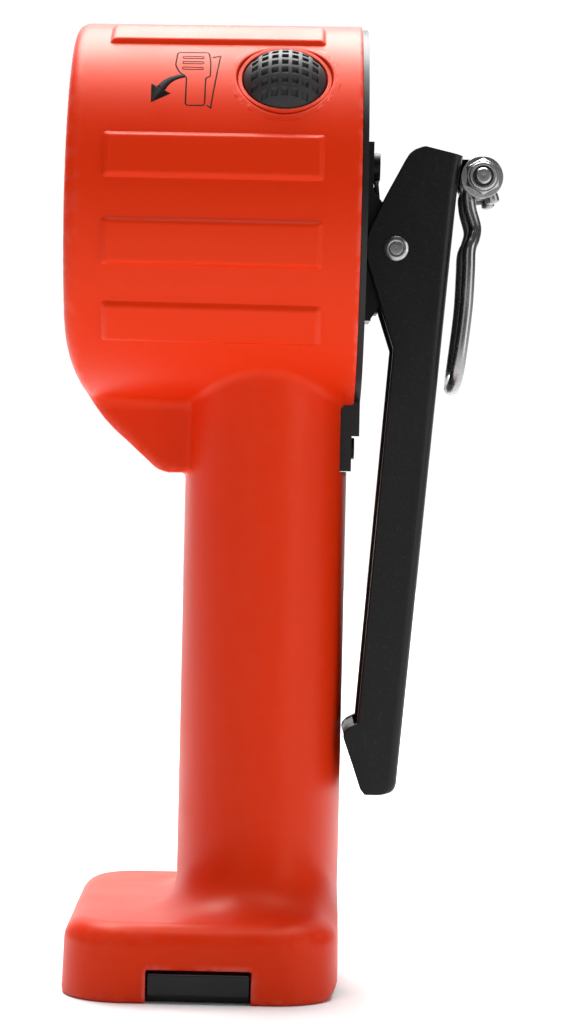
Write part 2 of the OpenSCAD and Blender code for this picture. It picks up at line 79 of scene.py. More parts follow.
class TorchSizes(bpy.types.PropertyGroup):
    """Sizes of the visible surfaces, in millimetres"""
    shell_step: bpy.props.FloatProperty(
        name="Shell step", description="Spacing of the shell's surface points", default=0.83, min=0.6, max=2.0)
    head_r_rear: bpy.props.FloatProperty(
        name="Rear radius", description="Outer radius of the head at its rear", default=35.7)
    head_r_front: bpy.props.FloatProperty(
        name="Front radius", description="Outer radius of the head at its front", default=35.2)
    rib_w: bpy.props.FloatProperty(name="Rib width", description="Width of a grip rib", default=7.7)
    rib_h: bpy.props.FloatProperty(name="Rib height", description="Height of a grip rib", default=0.8)
    handle_rx: bpy.props.FloatProperty(
        name="Handle half depth", description="Half depth of the handle, front to back", default=15.0)
    handle_ry: bpy.props.FloatProperty(
        name="Handle half width", description="Half width of the handle", default=20.4)
    handle_fillet: bpy.props.FloatProperty(
        name="Handle fillet", default=5.0,
        description="Blend of the handle into the foot at the front; three times this at the sides")
    button_r: bpy.props.FloatProperty(name="Button radius", description="Radius of the rubber dome", default=7.4)
    pit_pitch: bpy.props.FloatProperty(
        name="Pit pitch", description="Spacing of the waffle pits on the button", default=1.8)
    pit_depth: bpy.props.FloatProperty(name="Pit depth", description="Depth of a waffle pit", default=0.5)
    wire_r: bpy.props.FloatProperty(name="Ring wire radius", description="Radius of the ring's wire", default=1.25)


class TorchColours(bpy.types.PropertyGroup):
    """Colours of the finishes"""
    shell: bpy.props.FloatVectorProperty(
        name="Shell", description="Moulded shell", subtype="COLOR", size=3, default=(0.68, 0.027, 0.002))
    black: bpy.props.FloatVectorProperty(
        name="Black plastic", description="Moulded black parts", subtype="COLOR", size=3,
        default=(0.011, 0.011, 0.0115))
    paint: bpy.props.FloatVectorProperty(
        name="Clip paint", description="Powder coat of the clip", subtype="COLOR", size=3,
        default=(0.007, 0.007, 0.0075))
    rubber: bpy.props.FloatVectorProperty(
        name="Rubber", description="Button and seals", subtype="COLOR", size=3, default=(0.014, 0.014, 0.015))
    steel: bpy.props.FloatVectorProperty(
        name="Steel", description="Ring, bolt and pins", subtype="COLOR", size=3, default=(0.36, 0.36, 0.36))


def sizes():
    return bpy.context.scene.torch_sizes


# ---- mesh helpers

def outward(mesh):
    """Merges doubled points and turns every face outwards."""
    bm = bmesh.new()
    bm.from_mesh(mesh)
    bmesh.ops.remove_doubles(bm, verts=bm.verts, dist=1e-7)
    bmesh.ops.recalc_face_normals(bm, faces=bm.faces)
    bm.to_mesh(mesh)
    bm.free()


def new_piece(name, points, faces, body, slot_name, replaced=(), finish=None, sharp=None, tidy=True):
    """A mesh object at the origin from points in millimetres, riding on its body in the place of CAD nodes. Its
    finish is its slot's own unless another is named, and edges sharper than the angle sharp are kept crisp."""
    mesh = bpy.data.meshes.new(name)
    mesh.from_pydata(np.asarray(points, float) * MM, [], faces.tolist() if isinstance(faces, np.ndarray) else faces)
    mesh.update()
    mesh.polygons.foreach_set("use_smooth", np.full(len(mesh.polygons), True))
    piece = bpy.data.objects.new(name, mesh)
    bpy.context.scene.collection.objects.link(piece)
    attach(piece, body)
    if replaced:
        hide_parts(*replaced)
    if tidy:
        outward(mesh)
    if sharp:
        mesh.set_sharp_from_angle(angle=math.radians(sharp))
    mesh.materials.append(material(finish or slot_name))
    return piece


def grid_faces(rows, cols, wrap_rows=False, wrap_cols=True):
    """Quads of a grid of rows x cols points, either way closed on itself."""
    i = np.arange(rows if wrap_rows else rows - 1)[:, None]
    j = np.arange(cols if wrap_cols else cols - 1)[None, :]
    i1, j1 = (i + 1) % rows, (j + 1) % cols
    quads = [i * cols + j, i * cols + j1, i1 * cols + j1, i1 * cols + j]
    return np.stack(np.broadcast_arrays(*quads), -1).reshape(-1, 4)


def grid_rim(rows, cols):
    """The outer points of a grid, once round."""
    index = np.arange(rows * cols).reshape(rows, cols)
    return np.concatenate([index[0, :-1], index[:-1, -1], index[-1, :0:-1], index[:0:-1, 0]])


def capped_faces(rows, cols):
    """Faces of a tube of rows rings with cols points each, closed by a face at both ends."""
    first = list(range(cols))
    return grid_faces(rows, cols).tolist() + [first[::-1], [(rows - 1) * cols + k for k in first]]


def bend_between(start, middle, end, t):
    """Quadratic curve from start to end, drawn towards middle."""
    return (1 - t) ** 2 * start + 2 * t * (1 - t) * middle + t * t * end


def circle(steps):
    return np.linspace(0, 2 * math.pi, steps, endpoint=False)


def rounded(profile, radius, steps=5):
    """The closed profile with each corner turned into an arc: a quadratic curve that leaves each
    side at the given distance from the corner, or less on a short side."""
    p = np.asarray(profile, float)
    before, after = np.roll(p, 1, 0) - p, np.roll(p, -1, 0) - p
    lb, la = np.linalg.norm(before, axis=1), np.linalg.norm(after, axis=1)
    cut = np.minimum(radius, 0.45 * np.minimum(lb, la))
    start, end = p + before * (cut / lb)[:, None], p + after * (cut / la)[:, None]
    t = np.linspace(0, 1, steps)[None, :, None]
    return bend_between(start[:, None], p[:, None], end[:, None], t).reshape(-1, 2)


def turned(profile, steps=128, axis="x", centre=(0, 0, 0)):
    """A closed profile of (along, radius) turned once round an axis: point(i, a) is the profile's
    point i swung by the angle a."""
    p = np.asarray(profile, float)
    a = circle(steps)
    along = np.repeat(p[:, :1], steps, 1)
    c, s = p[:, 1:] * np.cos(a), p[:, 1:] * np.sin(a)
    order = {"x": (along, c, s), "y": (s, along, c), "z": (c, s, along)}[axis]
    points = np.stack(order, -1).reshape(-1, 3) + np.array(centre)
    return points, grid_faces(len(p), steps, wrap_rows=True)


def ring_profile(start, end, inner, outer):
    """Section of a plain ring from start to end along its axis."""
    return [(start, inner), (start, outer), (end, outer), (end, inner)]


def join(*shapes):
    """Several (points, faces) as one, with the face numbers moved on."""
    points, faces, start = [], [], 0
    for p, f in shapes:
        points.append(np.asarray(p, float))
        faces += [[int(k) + start for k in face] for face in f]
        start += len(p)
    return np.concatenate(points), faces


def smooth_route(points, steps):
    """Catmull-Rom curve through the points: each stretch is a cubic whose slope at a point is half
    the step from the point before to the point after."""
    p = np.asarray(points, float)
    q = np.concatenate([[2 * p[0] - p[1]], p, [2 * p[-1] - p[-2]]])
    a, b, c, d = q[:-3, None], q[1:-2, None], q[2:-1, None], q[3:, None]
    t = np.linspace(0, 1, steps, endpoint=False)[None, :, None]
    curve = 0.5 * (2 * b + t * (c - a) + t ** 2 * (2 * a - 5 * b + 4 * c - d) + t ** 3 * (3 * b - a - 3 * c + d))
    return np.concatenate([curve.reshape(-1, 3), p[-1:]])


def tube(route, radius, side, steps=24, dome=6):
    """A round bar along a route with domed ends: each ring is radius * (cos a * u + sin a * v) about a
    route point, where u is square to the route and to side; the end rings shrink as a quarter circle."""
    route = np.asarray(route, float)
    tangent = np.gradient(route, axis=0)
    tangent /= np.linalg.norm(tangent, axis=1)[:, None]
    u = np.cross(np.broadcast_to(side, tangent.shape), tangent)
    u /= np.linalg.norm(u, axis=1)[:, None]
    v = np.cross(tangent, u)
    q = np.linspace(0, math.pi / 2, dome, endpoint=False)[1:]
    push = 0.45 * radius * np.sin(q)[:, None]
    centre = np.concatenate([(route[0] - push * tangent[0])[::-1], route, route[-1] + push * tangent[-1]])
    shrink = np.concatenate([np.cos(q)[::-1], np.ones(len(route)), np.cos(q)])[:, None, None]
    u, v = (np.pad(w, ((len(q), len(q)), (0, 0)), "edge")[:, None] for w in (u, v))
    a = circle(steps)[None, :, None]
    points = centre[:, None] + radius * shrink * (np.cos(a) * u + np.sin(a) * v)
    return points.reshape(-1, 3), capped_faces(len(centre), steps)


def softened(node, name, body, slot_name, width):
    """The CAD node's own shape as one welded mesh, with a small round on every edge."""
    angle = math.radians(30)
    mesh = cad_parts[node].data.copy()
    mesh.name = name
    piece = bpy.data.objects.new(name, mesh)
    bpy.context.scene.collection.objects.link(piece)
    bm = bmesh.new()
    bm.from_mesh(mesh)
    bmesh.ops.remove_doubles(bm, verts=bm.verts, dist=2e-6)
    bmesh.ops.dissolve_limit(bm, angle_limit=math.radians(1), verts=bm.verts, edges=bm.edges)
    bm.to_mesh(mesh)
    bm.free()
    mesh.materials.clear()
    mesh.materials.append(material(slot_name))
    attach(piece, body)
    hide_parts(node)
    bevel = piece.modifiers.new("Edge round", "BEVEL")
    bevel.width = width * MM
    bevel.segments = 3
    bevel.limit_method = "ANGLE"
    bevel.angle_limit = angle
    bevel.use_clamp_overlap = True
    bevel.harden_normals = True
    mesh.polygons.foreach_set("use_smooth", np.full(len(mesh.polygons), True))
    mesh.set_sharp_from_angle(angle=angle)


# ---- surface of a solid field

def round_max(a, b, r):
    """Where both solids are: the larger distance, with the edge between them rounded to radius r."""
    return np.minimum(np.maximum(a, b), -r) + np.hypot(np.maximum(a + r, 0), np.maximum(b + r, 0))


def blend_min(a, b, k):
    """Where either solid is: the smaller distance, with the corner between them filled over k."""
    h = np.clip(0.5 + 0.5 * (b - a) / k, 0, 1)
    return b * (1 - h) + a * h - k * h * (1 - h)


def cut(a, b, r):
    """Solid a with solid b taken away, the new edge rounded to radius r."""
    return round_max(a, -b, r)


def block(x, y, z, low, high, r=0.3):
    """A box from corner to corner, edges rounded to r."""
    dx = np.maximum(low[0] - x, x - high[0])
    dy = np.maximum(low[1] - y, y - high[1])
    dz = np.maximum(low[2] - z, z - high[2])
    return round_max(round_max(dx, dy, r), dz, r)


def oval(x, y, a, b):
    """Distance to an upright ellipse: its equation's value over the length of its slope."""
    k = np.sqrt((x / a) ** 2 + (y / b) ** 2) + 1e-9
    return (k - 1) * k / np.hypot(x / a ** 2, y / b ** 2).clip(1e-6)


def contour(field, low, high, step):
    """The surface where the field is zero, as quads. Each grid cell that the surface crosses gets one
    point: the one nearest, in the least-squares sense, to the tangent planes at the places where the
    surface crosses the cell's edges, which keeps crisp edges crisp. Also returns each point's slope."""
    axes = [np.arange(low[k] - step, high[k] + 2 * step, step) for k in range(3)]
    value = np.concatenate([field(*np.meshgrid(part, *axes[1:], indexing="ij"))
                            for part in np.array_split(axes[0], len(axes[0]) // 8)])
    origin = np.array([a[0] for a in axes])
    cell_shape = np.array(value.shape) - 1

    def slope(p):
        h = step * 0.05
        g = np.stack([field(*(p + h * e).T) - field(*(p - h * e).T) for e in np.eye(3)], -1)
        return g / np.linalg.norm(g, axis=1)[:, None].clip(1e-9)

    owners, places, slopes, quads = [], [], [], []
    for k in range(3):
        others = [m for m in range(3) if m != k]
        idx = np.argwhere(np.diff(value < 0, axis=k))
        idx = idx[np.all([(idx[:, m] > 0) & (idx[:, m] < cell_shape[m]) for m in others], axis=0)]
        unit = np.eye(3, dtype=int)[k]
        near, far = value[tuple(idx.T)], value[tuple((idx + unit).T)]
        p = origin + step * idx
        t, low_t, high_t = near / (near - far), np.zeros(len(idx)), np.ones(len(idx))
        for halving in range(4):
            same = (field(*(p + step * t[:, None] * unit).T) < 0) == (near < 0)
            low_t, high_t = np.where(same, t, low_t), np.where(same, high_t, t)
            t = (low_t + high_t) / 2
        q = p + step * t[:, None] * unit
        # The four cells round the edge, in turning order
        around = []
        for shift in ((0, 0), (-1, 0), (-1, -1), (0, -1)):
            c = idx.copy()
            c[:, others] += shift
            around.append(np.ravel_multi_index(tuple(c.T), tuple(cell_shape)))
        owners.append(np.concatenate(around))
        places.append(np.tile(q, (4, 1)))
        slopes.append(np.tile(slope(q), (4, 1)))
        quad = np.stack(around, -1)
        flip = (near >= 0) if k != 1 else (near < 0)
        quad[flip] = quad[flip][:, ::-1]
        quads.append(quad)
    owners, places, slopes = map(np.concatenate, (owners, places, slopes))
    cells, local = np.unique(owners, return_inverse=True)
    n = len(cells)
    count = np.bincount(local, minlength=n).astype(float)
    mass = np.stack([np.bincount(local, places[:, m], n) for m in range(3)], -1) / count[:, None]
    offset = np.einsum("ij,ij->i", slopes, places - mass[local])
    ata = np.empty((n, 3, 3))
    atb = np.empty((n, 3))
    for r in range(3):
        atb[:, r] = np.bincount(local, slopes[:, r] * offset, n)
        for c in range(3):
            ata[:, r, c] = np.bincount(local, slopes[:, r] * slopes[:, c], n)
    ata += 0.06 * count[:, None, None] * np.eye(3)
    move = np.linalg.solve(ata, atb[:, :, None])[:, :, 0]
    corner = origin + step * np.stack(np.unravel_index(cells, tuple(cell_shape)), -1)
    points = np.clip(mass + move, corner - 0.1 * step, corner + 1.1 * step)
    faces = np.searchsorted(cells, np.concatenate(quads))
    return points, faces, slope(points)


def corner_distance(qx, qy):
    """Distance to a right-angled corner, from the distances past its two sides."""
    return np.hypot(np.maximum(qx, 0), np.maximum(qy, 0)) + np.minimum(np.maximum(qx, qy), 0)


def plan_box(x, y, low, high, corner):
    """Distance to an upright box seen from above, corners rounded."""
    qx = np.abs(x - (low[0] + high[0]) / 2) - (high[0] - low[0]) / 2 + corner
    qy = np.abs(y - (low[1] + high[1]) / 2) - (high[1] - low[1]) / 2 + corner
    return corner_distance(qx, qy) - corner


# ---- shell

RIB_X = (-29.3, 8.9)
SIGN_X, SIGN_ANGLE, INK_LIFT = -14.2, 41.0, 0.03
RIB_ANGLES = (63.4, 13.4, -11.6, -36.6, 116.6, 141.6, 166.6, 191.6, 216.6)
BUTTON_ANGLE, BUTTON_X, BUTTON_RECESS = 41.0, 2.0, 8.6
CUT_R, CUT_Z, CUT_TURN = 28.0, 121.0, 228.0
CHIN_RY, CHIN_Z, CHIN_REAR = 7.6, 92.9, -6.0
HANDLE_TOP, HANDLE_WALL = 112.0, 2.2
BAY_LOW, BAY_TOP = 6.0, 106.4
HEAD_BORE, COVER_SEAT_R, COVER_SEAT_X = 32.4, 33.9, 13.5
FOOT_CORNER, FOOT_TOP, FOOT_ROUND = 11.5, 13.7, 4.0
FOOT_LOW, FOOT_HIGH = (-34.4, -35.0), (14.8, 35.0)
FOOT_HEEL = 3.6
KNUCKLE_Y, KNUCKLE_HALF = 19.5, 4.5


def radial(y, z, degrees):
    """Distance outward along a direction round the lamp axis, and distance sideways from it."""
    ny, nz = -math.cos(math.radians(degrees)), math.sin(math.radians(degrees))
    return y * ny + (z - HEAD_Z) * nz, y * nz - (z - HEAD_Z) * ny


def drum_radius(x):
    """Outer radius of the head's drum, which tapers evenly from rear to front."""
    s = sizes()
    return s.head_r_front + (s.head_r_rear - s.head_r_front) * (x - DRUM_FRONT) / (DRUM_REAR - DRUM_FRONT)


def head_field(x, y, z):
    """The head: a drum with a slight draft and a rounded front rim, a gusset blended on below, and the
    lower front cut back along an arc that runs on as a straight slope."""
    front = DRUM_FRONT
    drum = round_max(np.hypot(y, z - HEAD_Z) - drum_radius(x), front - x, 3.0)
    drum = round_max(drum, x - DRUM_REAR, 0.5)
    chin = round_max(np.abs(y) - CHIN_RY, CHIN_Z - z, 1.3)
    chin = np.maximum(np.maximum(chin, z - HANDLE_TOP), np.maximum(x - CHIN_REAR, front - x))
    drum = blend_min(drum, chin, 2.0)
    cx = front + CUT_R
    turn = math.radians(CUT_TURN)
    arc = np.hypot(x - cx, z - CUT_Z) - CUT_R
    line = math.cos(turn) * (x - cx) + math.sin(turn) * (z - CUT_Z) - CUT_R
    beyond = math.cos(turn) * (z - CUT_Z) - math.sin(turn) * (x - cx) > 0
    outline = np.where(z > CUT_Z, front - x, np.where((x < cx) & ~beyond, arc, line))
    return round_max(drum, outline, 1.1)


def foot_field(x, y, z):
    """The foot: a slab with round corners, its sides leaning in a little and its top edge rounded."""
    lean = (z / FOOT_TOP) * 0.35
    plan = plan_box(x, y, FOOT_LOW, FOOT_HIGH, FOOT_CORNER) + lean
    return round_max(round_max(plan, z - FOOT_TOP, FOOT_ROUND), -z, 0.9)


def shell_field(x, y, z):
    """Head, handle and foot blended into one moulding, with the bores, the battery bay, the seats of
    lens, cover, tongue, button and latches, and the hinge pockets taken out."""
    s = sizes()
    head = head_field(x, y, z)
    around = oval(x, y, s.handle_rx, s.handle_ry)
    handle = np.maximum(around, np.maximum(z - HANDLE_TOP, 4 - z))
    body = blend_min(head, handle, 1.2)
    sideways = y ** 2 / (x ** 2 + y ** 2 + 1e-6)
    body = blend_min(body, foot_field(x, y, z), s.handle_fillet * (1 + 2 * sideways))
    rear_flat = x - np.where(z < 100, FOOT_HIGH[0] + 0.2, 200)
    body = np.maximum(np.maximum(body, rear_flat), round_max(x - FOOT_HIGH[0] - 0.1, -z, FOOT_HEEL) - 40 * (z > 12))
    rho = np.hypot(y, z - HEAD_Z)
    ledge = LENS_HIGH[0] + 1.0
    body = cut(body, np.maximum(rho - LENS_R - 0.2, x - ledge), 0.9)
    body = cut(body, np.maximum(rho - LENS_R + 2.4, x), 0.3)
    body = cut(body, np.maximum(rho - HEAD_BORE, ledge + 2 - x), 0.3)
    body = cut(body, np.maximum(rho - COVER_SEAT_R, COVER_SEAT_X - x), 0.3)
    bore = oval(x, y, s.handle_rx - HANDLE_WALL, s.handle_ry - HANDLE_WALL)
    bay = np.maximum(bore, np.maximum(BAY_LOW - z, z - BAY_TOP))
    body = cut(body, bay, 0.3)
    opening = plan_box(x, y, (-32.1, -32.7), (10.1, 32.7), 8.5)
    body = cut(body, np.maximum(opening, z - 3.65), 0.4)
    hollow = np.maximum(plan_box(x, y, (-29.0, -26.9), (7.5, 26.9), 4.5), z - 11.7)
    body = cut(body, np.maximum(hollow, -np.maximum(around, BAY_LOW - z)), 0.3)
    for side in (-1, 1):
        window = block(x, side * y, z, (LATCH_LOW[0] - 0.3, 30, -3), (LATCH_HIGH[0] + 0.3, 40, 5.9))
        body = cut(body, window, 0.25)
        pocket = block(x, side * y, z, (10.2, KNUCKLE_Y - KNUCKLE_HALF, -3), (18, KNUCKLE_Y + KNUCKLE_HALF, 4.5))
        body = cut(body, pocket, 0.25)
    body = cut(body, block(x, y, z, (13.2, -7.7, 93.6), (22, 7.7, 108)), 0.3)
    out, side = radial(y, z, BUTTON_ANGLE)
    from_centre = np.hypot(x - BUTTON_X, side)
    return cut(body, np.maximum(from_centre - BUTTON_RECESS - 0.35, 20 - out), 0.25)


class TORCH_OT_shell(bpy.types.Operator):
    """Shell: the zero surface of the blended head, handle and foot, one point for each cell it crosses"""
    bl_idname = "torch.shell"
    bl_label = "Shell"

    def execute(self, context):
        step = sizes().shell_step * 1
        points, faces, slopes = contour(shell_field, SHELL_LOW, SHELL_HIGH, step)
        points = np.clip(points, SHELL_LOW, SHELL_HIGH)
        piece = new_piece("shell", points, faces, "root", "shell_plastic", ["housing"], tidy=False)
        # How sharply the surface bends, from the field's values a short way off in six directions
        h = 0.6
        bend = sum(shell_field(*(points + h * e).T) + shell_field(*(points - h * e).T) for e in np.eye(3))
        bend = bend / h - 6 * shell_field(*points.T) / h
        wear = piece.data.attributes.new("edge", "FLOAT", "POINT")
        wear.data.foreach_set("value", np.clip(bend * 0.6, 0, 1).astype(np.float32))
        piece.data.normals_split_custom_set_from_vertices(slopes.tolist())
        return {"FINISHED"}


# ---- ribs

def raised_pad(angle, x0, x1, width, height):
    """A low pad on the drum: over (along, around) its height is height * s(distance in from the edge / slope
    width), s being the smooth step 3t^2 - 2t^3, and its underside lies just inside the wall."""
    rows, cols = ((96, 34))
    slope, sink = 1.3, 0.12
    u, v = np.meshgrid(np.linspace(x0 - slope, x1 + slope, rows), np.linspace(-1, 1, cols) * (width / 2 + slope),
                       indexing="ij")
    corner = 0.8
    qx = np.abs(u - (x0 + x1) / 2) - (x1 - x0) / 2 - slope / 2 + corner
    qy = np.abs(v) - width / 2 - slope / 2 + corner
    t = np.clip((corner - corner_distance(qx, qy)) / slope + 0.08, 0, 1)
    base = drum_radius(u)
    r = base + (height + sink) * t * t * (3 - 2 * t) - sink
    turn = np.radians(angle) + v / sizes().head_r_rear

    def place(radius):
        return np.stack([u, -radius * np.cos(turn), HEAD_Z + radius * np.sin(turn)], -1).reshape(-1, 3)

    rim = grid_rim(rows, cols)
    top = grid_faces(rows, cols, wrap_cols=False)
    faces = np.concatenate([top, top[:, ::-1] + rows * cols,
                            np.stack([rim, np.roll(rim, -1), np.roll(rim, -1) + rows * cols, rim + rows * cols], -1)])
    return np.concatenate([place(r), place(base - 0.4)]), faces


class TORCH_OT_ribs(bpy.types.Operator):
    """Grip ribs: low pads wrapped round the drum, their edges a smooth step up from the skin"""
    bl_idname = "torch.ribs"
    bl_label = "Grip ribs"

    def execute(self, context):
        s = sizes()
        pads = [raised_pad(angle, *RIB_X, s.rib_w, s.rib_h) for angle in RIB_ANGLES]
        new_piece("ribs", *join(*pads), "root", "shell_plastic")
        return {"FINISHED"}


# ---- print on the shell

def on_drum(flat):
    """Wraps flat (along, around) points, around measured from the print's centre, onto the drum."""
    flat = np.asarray(flat, float) + (SIGN_X, 0)
    r = drum_radius(flat[:, 0]) + INK_LIFT
    a = np.radians(SIGN_ANGLE) + flat[:, 1] / r
    return np.stack([flat[:, 0], -r * np.cos(a), HEAD_Z + r * np.sin(a)], -1)


def square_to(steps):
    """Unit vectors at a quarter turn to the left of flat ones."""
    return np.stack([-steps[:, 1], steps[:, 0]], -1) / np.linalg.norm(steps, axis=1)[:, None]


def stroke(route, width, closed=False):
    """A flat line of even width along a route, each corner mitred: point +- half width along the
    mean of the two sides' normals, lengthened to keep the width."""
    p = np.asarray(route, float)
    ahead = np.roll(p, -1, 0) - p
    if not closed:
        ahead[-1] = ahead[-2]
    behind = np.roll(ahead, 1, 0)
    if not closed:
        behind[0] = ahead[0]
    na, nb = square_to(ahead), square_to(behind)
    m = na + nb
    m = m / (m * na).sum(1)[:, None]
    points = np.stack([p + m * width / 2, p - m * width / 2], 1).reshape(-1, 2)
    return points, grid_faces(len(p), 2, wrap_rows=closed, wrap_cols=False)


def dense(route, closed=False):
    """The route with a point at least every half millimetre, so that it can follow a curved surface."""
    p = np.asarray(route, float)
    if closed:
        p = np.concatenate([p, p[:1]])
    parts = []
    for a, b in zip(p[:-1], p[1:]):
        n = max(1, int(np.ceil(np.linalg.norm(b - a) / 0.5)))
        parts.append(a + (b - a) * np.linspace(0, 1, n, endpoint=False)[:, None])
    if not closed:
        parts.append(p[-1:])
    return np.concatenate(parts)


class TORCH_OT_print(bpy.types.Operator):
    """Printed sign: strokes of even width laid on the drum, a plain lamp outline and a curved arrow"""
    bl_idname = "torch.printed_sign"
    bl_label = "Printed sign"

    def execute(self, context):
        outline = [(-3.1, 6.6), (2.5, 6.6), (2.9, 3.2), (2.9, -0.4), (2.1, -0.7), (2.1, -7.2), (-1.3, -7.2),
                   (-1.3, -0.6), (-2.6, 0.6), (-3.4, 2.6)]
        clip = [(3.2, 5.1), (4.6, 5.5), (3.2, -7.7), (2.5, -7.1)]
        lines = [(dense(rounded(outline, 0.6, 4), closed=True), 0.25, True), (dense(clip), 0.25, False)]
        for k in range(3):
            y = 5.0 - 1.6 * k
            bar = [(-2.1, y - 0.3), (1.6, y - 0.3), (1.6, y + 0.3), (-2.1, y + 0.3)]
            lines.append((dense(rounded(bar, 0.18, 3), closed=True), 0.17, True))
        shapes = [stroke(*line) for line in lines]
        # The arrow: a band that widens along a quadratic curve, then a head that narrows to its tip
        t = np.linspace(0, 1, 14)[:, None]
        start, bend, end = np.array((-1.6, -0.3)), np.array((-4.4, -0.7)), np.array((-5.75, -3.5))
        middle = bend_between(start, bend, end, t)
        side = square_to(np.gradient(middle, axis=0))
        half = 0.4 + 0.45 * t
        left, right, tip = np.array((-7.5, -2.3)), np.array((-4.0, -4.7)), np.array((-7.4, -6.7))
        for one, other in ((middle + side * half, middle - side * half),
                           (left + (tip - left) * t * 0.995, right + (tip - right) * t * 0.995)):
            band = np.stack([one, (one + other) / 2, other], 1).reshape(-1, 2)
            shapes.append((band, grid_faces(14, 3, wrap_cols=False)))
        points, faces = join(*shapes)
        piece = new_piece("printed_sign", on_drum(points), faces, "root", None, finish="ink")
        solid = piece.modifiers.new("Ink", "SOLIDIFY")
        solid.thickness = 0.02 * MM
        solid.offset = 0
        return {"FINISHED"}


# ---- button

def at_button(points):
    """Turns (along, sideways, outward) points into place on the drum at the button."""
    p = np.asarray(points, float)
    a = math.radians(BUTTON_ANGLE)
    out = p[:, 2] + sizes().head_r_rear
    return np.stack([p[:, 0] + BUTTON_X, -out * math.cos(a) + p[:, 1] * math.sin(a),
                     HEAD_Z + out * math.sin(a) + p[:, 1] * math.cos(a)], -1)


class TORCH_OT_button(bpy.types.Operator):
    """Button: a square grid drawn onto a disc and lifted to a dome, with square pits sunk at an even pitch"""
    bl_idname = "torch.button"
    bl_label = "Button"

    def execute(self, context):
        s = sizes()
        n = 230
        u, v = np.meshgrid(np.linspace(-1, 1, n), np.linspace(-1, 1, n), indexing="ij")
        x, y = u * np.sqrt(1 - v * v / 2) * s.button_r, v * np.sqrt(1 - u * u / 2) * s.button_r
        r = np.hypot(x, y)
        rise = 4.2
        ball = (s.button_r ** 2 + rise ** 2) / (2 * rise)
        height = -0.9 + np.sqrt(ball ** 2 - np.minimum(r, s.button_r) ** 2) - ball + rise
        cell = np.maximum(np.abs((x / s.pit_pitch + 0.5) % 1 - 0.5), np.abs((y / s.pit_pitch + 0.5) % 1 - 0.5))
        ramp = np.clip((0.33 - cell) / 0.1, 0, 1)
        row, col = np.round(x / s.pit_pitch - 1e-6), np.round(y / s.pit_pitch - 1e-6)
        inside = np.hypot(row, col) * s.pit_pitch < s.button_r - 0.85
        height -= s.pit_depth * ramp * ramp * (3 - 2 * ramp) * inside
        top = np.stack([x, y, height], -1).reshape(-1, 3)
        faces = grid_faces(n, n, wrap_cols=False).tolist()
        rim = grid_rim(n, n)
        skirt, start, last = [], n * n, rim
        for drop, shrink in ((-1.0, 1.0), (-3.1, 1.0), (-3.2, 0.985)):
            ring = top[rim].copy()
            ring[:, :2] *= shrink
            ring[:, 2] = drop
            skirt.append(ring)
            now = start + np.arange(len(rim))
            faces += np.stack([last, now, np.roll(now, -1), np.roll(last, -1)], -1).tolist()
            last, start = now, start + len(rim)
        faces.append(last.tolist())
        dome = (np.concatenate([top] + skirt), faces)
        stem = turned([(-6.5, 0.001), (-6.5, 1.9), (-6.4, 2.0), (-3.1, 2.0), (-3.1, 0.001)], 32, "z")
        points, faces = join(dome, stem)
        new_piece("button", at_button(points), faces, "button", "rubber", ["power_button"])
        # The seat: its profile is (distance from the middle, height, share of the drum's own curve)
        k = np.array([(10.3, -0.5, 1), (10.28, -0.05, 1), (10.2, 0.01, 1), (9.8, 0.02, 1), (9.2, 0.02, 1),
                      (8.9, 0.01, 1), (8.72, -0.06, 1), (8.6, -0.22, 0.9), (8.56, -0.6, 0.6), (8.52, -1.15, 0.2),
                      (8.35, -1.35, 0), (7.9, -1.4, 0), (7.62, -1.42, 0), (7.56, -1.6, 0), (7.56, -3.0, 0),
                      (10.3, -3.0, 0.6)])
        a = circle(144)
        sx, sy = k[:, :1] * np.cos(a), k[:, :1] * np.sin(a)
        fall = np.sqrt(s.head_r_rear ** 2 - sy ** 2) - s.head_r_rear
        draft = drum_radius(sx + BUTTON_X) - s.head_r_rear
        seat = np.stack([sx, sy, k[:, 1:2] + k[:, 2:] * (fall + draft)], -1).reshape(-1, 3)
        new_piece("button_seat", at_button(seat), grid_faces(len(k), 144, wrap_rows=True), "root", "shell_plastic")
        collar = turned(rounded([(-1.35, 7.65), (-1.35, 8.45), (-0.8, 8.45), (-0.8, 7.65)], 0.15), 96, "z")
        new_piece("collar", at_button(collar[0]), collar[1], "root", "shell_plastic", ["button_collar"])
        return {"FINISHED"}


# ---- clip

def slab_shape(outline, half, edge):
    """A plate from an outline in X and Z, its two faces set in from the sides by a small bevel."""
    p = np.asarray(outline, float)
    n = len(p)
    ahead, behind = np.roll(p, -1, 0) - p, p - np.roll(p, 1, 0)
    normal = np.stack([ahead[:, 1] + behind[:, 1], -ahead[:, 0] - behind[:, 0]], -1)
    normal /= np.linalg.norm(normal, axis=1)[:, None].clip(1e-9)
    area = (p[:, 0] * np.roll(p[:, 1], -1) - np.roll(p[:, 0], -1) * p[:, 1]).sum()
    inner = p - normal * edge * (1 if area > 0 else -1)
    rings = [(inner, -half), (p, -half + edge), (p, half - edge), (inner, half)]
    points = np.concatenate([np.stack([q[:, 0], np.full(n, y), q[:, 1]], -1) for q, y in rings])
    return points, capped_faces(4, n)


